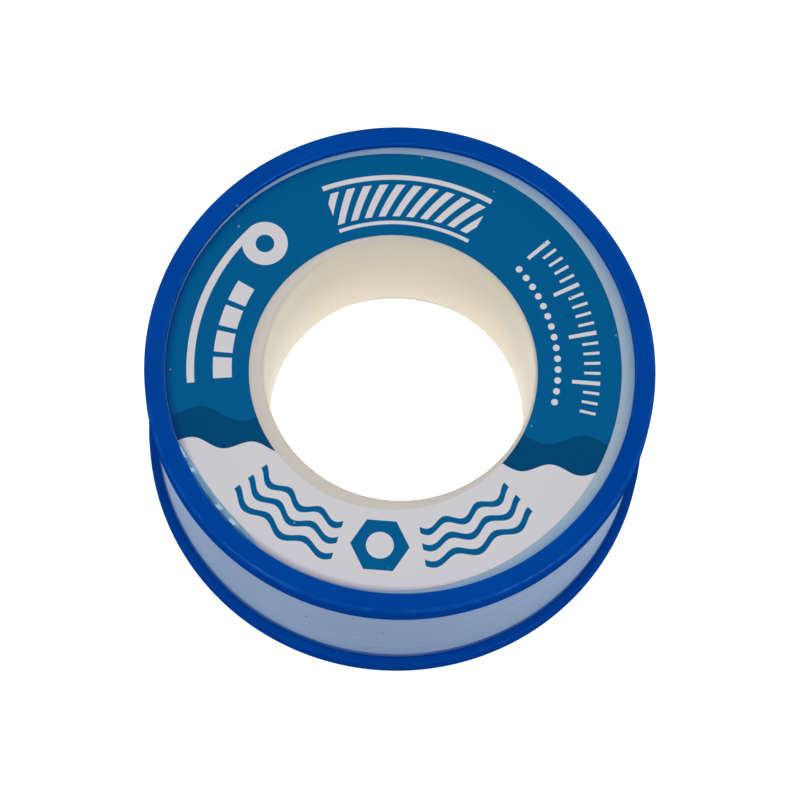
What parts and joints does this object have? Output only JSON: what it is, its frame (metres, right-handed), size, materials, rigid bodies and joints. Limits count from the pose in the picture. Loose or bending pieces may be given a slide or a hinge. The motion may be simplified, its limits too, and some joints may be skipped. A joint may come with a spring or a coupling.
{
  "type": "thread seal tape roll",
  "caption": "Roll of white thread seal tape on a two-part plastic spool with an open bore, blue push-fit rim rings that turn on its flanges, a printed face label and a free tape end.",
  "frame": {"origin": "centre of the roll's base, on the surface that it stands on", "axes": "+Z along the roll's axis, out of the labelled face; -Y towards the viewer of the picture, +X to the viewer's right"},
  "size_m": [0.06, 0.06, 0.027],
  "materials": {
    "spool_plastic": "satin moulded natural plastic",
    "tape_film": "soft matte film",
    "label_print": "printed and laminated, satin",
    "rim_plastic": "moulded, semi-gloss"
  },
  "bodies": {
    "spool": {"spool_lower_half": "spool_plastic", "tape_winding": "tape_film", "tape_outer_turn": "tape_film", "spool_upper_half": "spool_plastic", "face_label": "label_print"},
    "lower_rim": {"lower_rim_ring": "rim_plastic"},
    "upper_rim": {"upper_rim_ring": "rim_plastic"},
    "loose_end": {"tape_end": "tape_film"}
  },
  "joints": [
    {"name": "lower_rim_turn", "type": "hinge", "parent": "spool", "child": "lower_rim", "pos_m": [0, 0, 0.0016], "axis": [0, 0, 1], "continuous": true},
    {"name": "upper_rim_turn", "type": "hinge", "parent": "spool", "child": "upper_rim", "pos_m": [0, 0, 0.0254], "axis": [0, 0, 1], "continuous": true},
    {"name": "end_lift", "type": "hinge", "parent": "spool", "child": "loose_end", "pos_m": [0.01356, 0.0255, 0.0135], "axis": [0, 0, -1], "range_deg": [0, 90]}
  ]
}
